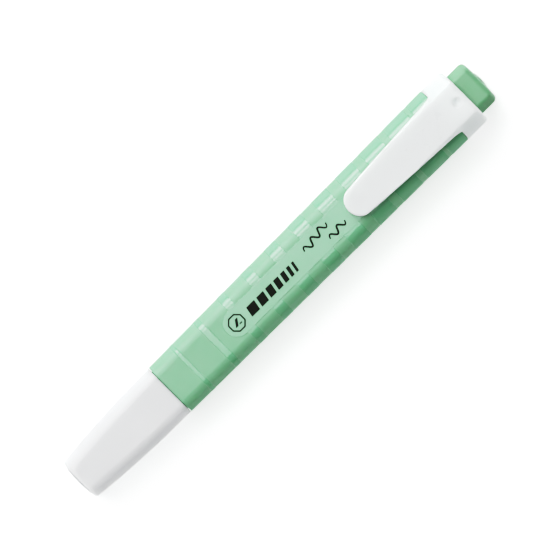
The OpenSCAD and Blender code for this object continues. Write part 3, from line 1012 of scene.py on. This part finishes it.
def make_plug(green):
    shape = Shape()

    def stub(inset):
        return even_octagon(NECK_HALF - inset, NECK_TALL - inset, MID_REAR,
                            NECK_FACET - inset / 2, NECK_R, STUB_FRONT_R)

    insert = even_octagon(BORE_HALF - 0.04, BORE_TALL - 0.04, MID_REAR, BORE_FACET, BORE_R)
    hollow = oval(*PLUG_HOLLOW, MID_REAR)
    stations = [(X_END - PLUG_END_WALL, hollow), (X_INSERT, hollow), (X_INSERT, insert), (X_STUB, insert),
                (X_STUB, stub(0))]
    stations += [(X_END - STUB_DOME - STUB_END_R * (1 - math.sin(a)), stub(STUB_END_R * (1 - math.cos(a))))
                 for a in [math.radians(90 * i / 8) for i in range(9)]]
    stations += [(X_END - STUB_DOME * q * q, scaled(stub(STUB_END_R), q, MID_REAR)) for q in (0.85, 0.7)]
    x_pad = X_END - PAD_SINK
    stations += [(mix(PLUG_HIGH.x, x_pad, q ** 3), oval(PAD_R * q, PAD_R * q, MID_REAR))
                 for q in (1, 0.96, 0.88, 0.76, 0.6, 0.4, 0.2, 0.05)]
    first, last = shape.tube(stations)
    shape.face(first)
    shape.face(last)
    belongs(shape.done("end_plug_body", [green]), "barrel", "green_plug", "end_plug")


X_FACE = CAP_LOW.x
X_LIP = CAP_HIGH.x - 0.16  # a groove is left in front of the joint
WINDOW = (3.85, 2.05)  # opening in the cap's end for the inner cap's button
CAP_END_R = 1.0
CAP_WALL = 1.0
CAP_END_WALL = 1.2
MOUTH_GAP = 0.05
MOUTH_LENGTH = 1.3  # of the mouth in front of the neck


def make_cap(white):
    shape = Shape()
    window = oval(*WINDOW, MID_FRONT)
    mouth = even_octagon(NECK_HALF + MOUTH_GAP, NECK_TALL + MOUTH_GAP, MID_FRONT, NECK_FACET, NECK_R)
    x_edge, x_mouth, x_inside = X_LIP - JOINT_EDGE, X_NECK - MOUTH_LENGTH, X_FACE + CAP_END_WALL
    stations = [(X_FACE, window)]
    stations += rounded(X_FACE, CAP_END_R, lambda inset: cap_outline(X_FACE + 0.5, inset), 1, 8)
    outside = [mix(X_FACE + CAP_END_R, X_SWELL, i / 24) for i in range(1, 25)] + [x_edge]
    stations += [(x, cap_outline(x)) for x in outside]
    stations += [(x_edge + JOINT_EDGE * math.sin(a), cap_outline(X_LIP, JOINT_EDGE * (1 - math.cos(a))))
                 for a in [math.radians(22.5 * i) for i in range(1, 5)]]
    stations += [(X_LIP, scaled(mouth, 1.02, MID_FRONT)), (x_edge, mouth), (x_mouth, mouth)]
    inside = [mix(x_mouth, x_inside, i / 10) for i in range(11)]
    stations += [(x, cap_outline(x, CAP_WALL)) for x in inside]
    stations += [(x_inside, window)]
    first, last = shape.tube(stations)
    shape.wall(last, first)
    belongs(shape.done("cap_body", [white]), "cap", "white_cap", "cap_shell")


BUTTON = (4.1, 2.3)
STEM = (3.8, 2.0)  # of the button, through the cap's end
BUTTON_DOME = 0.27
CUP_WALL = 0.6
# Half-width and half-height of the cup's inside, at its floor and at its mouth
CUP_FLOOR = (3.7, 2.35)
CUP_MOUTH = (4.35, 3.25)
X_CUP_FLOOR = X_FACE + 1.85
X_CUP_BACK = X_FACE + CAP_END_WALL + 0.05


def make_inner_cap(white):
    shape = Shape()
    x_cup, x_button = CUP_HIGH.x, CUP_LOW.x + BUTTON_DOME
    button, stem = oval(*BUTTON, MID_FRONT), oval(*STEM, MID_FRONT)

    def cup(x, grow):
        t = min(1.0, max(0.0, (x - X_CUP_FLOOR) / (X_LAND - X_CUP_FLOOR)))
        half, tall = (mix(a, b, t) + grow for a, b in zip(CUP_FLOOR, CUP_MOUTH))
        return oval(half, tall, MID_FRONT)

    stations = [(CUP_LOW.x + BUTTON_DOME * q * q, scaled(button, q, MID_FRONT))
                for q in (0.15, 0.35, 0.55, 0.75, 0.9, 0.97)]
    stations += [(x_button + 0.03, button), (X_FACE - 0.04, button), (X_FACE - 0.04, stem),
                 (X_CUP_BACK, stem), (X_CUP_BACK, cup(X_CUP_FLOOR, CUP_WALL - 0.2)),
                 (X_CUP_BACK + 0.15, cup(X_CUP_FLOOR, CUP_WALL)), (X_LAND, cup(X_LAND, CUP_WALL)),
                 (x_cup - 0.1, cup(X_LAND, CUP_WALL)), (x_cup, cup(X_LAND, CUP_WALL - 0.1)),
                 (x_cup, cup(X_LAND, 0.12)), (x_cup - 0.12, cup(X_LAND, 0)),
                 (X_LAND, cup(X_LAND, 0)), (X_CUP_FLOOR, cup(X_CUP_FLOOR, 0))]
    first, last = shape.tube(stations)
    shape.face(first)
    shape.face(last)
    belongs(shape.done("inner_cap_body", [white]), "cap", "white_liner", "inner_cap")


# ---------------------------------------------------------------- nib
NIB_HALF = 2.3
NIB_TALL = 1.6
NIB_SLANT = 2.3  # length that the writing edge slants over
NIB_BEVEL = 2.6  # length of the chisel's two slopes
NIB_EDGE = 0.5  # half-thickness of the writing edge
NIB_ROUNDING = 0.22
SHANK_HALF = 2.1
SHANK_TALL = 1.4


def make_nib(material):
    """Chisel of felt: a slanted edge, softened all round, on a narrower shank."""
    x_edge, x_slant, x_bevel = NIB_LOW.x, NIB_LOW.x + NIB_SLANT, NIB_LOW.x + NIB_BEVEL
    slant_tall = mix(NIB_EDGE, NIB_TALL, NIB_SLANT / NIB_BEVEL)
    points = [(x_edge, NIB_HALF, NIB_EDGE), (x_slant, -NIB_HALF, slant_tall)]
    points += [(x, y, NIB_TALL) for x in (x_bevel, X_FEED) for y in (NIB_HALF, -NIB_HALF)]
    bm = bmesh.new()
    for x, y, z in points:
        for side in (1, -1):
            bm.verts.new((x * MM, y * MM, (MID_FRONT + side * z) * MM))
    bmesh.ops.convex_hull(bm, input=bm.verts)
    bmesh.ops.dissolve_limit(bm, angle_limit=math.radians(1), verts=bm.verts, edges=bm.edges)
    bmesh.ops.bevel(bm, geom=bm.edges, offset=NIB_ROUNDING * MM, segments=4, profile=0.5, affect="EDGES")
    shape = Shape()
    shape.bm.free()
    shape.bm = bm
    shank = [(y * SHANK_HALF, MID_FRONT + z * SHANK_TALL) for y, z in ((1, -1), (1, 1), (-1, 1), (-1, -1))]
    first, last = shape.tube([(X_FEED - 1, shank), (NIB_HIGH.x, shank)])
    shape.face(first)
    shape.face(last)
    belongs(shape.done("nib_felt", [material]), "barrel", "felt_nib", "nib")


make_camera()
make_lights()
make_tone()
make_floor()
satin, polished = mint_satin(), mint_polished()
make_barrel(satin, polished)
make_panel(polished)
make_marks(print_ink())
make_plug(plug_green())
make_cap(cap_white_painted_light())
make_inner_cap(liner_grey_painted_shade())
make_nib(felt())
make_clip(clip_white_painted_shade())
for node, slot, finish in (("ink_reservoir", "fibre_core", fibre_core()),
                           ("reservoir_film", "clear_film", clear_film())):
    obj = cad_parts[node]
    obj.data.materials.clear()
    obj.data.materials.append(finish)
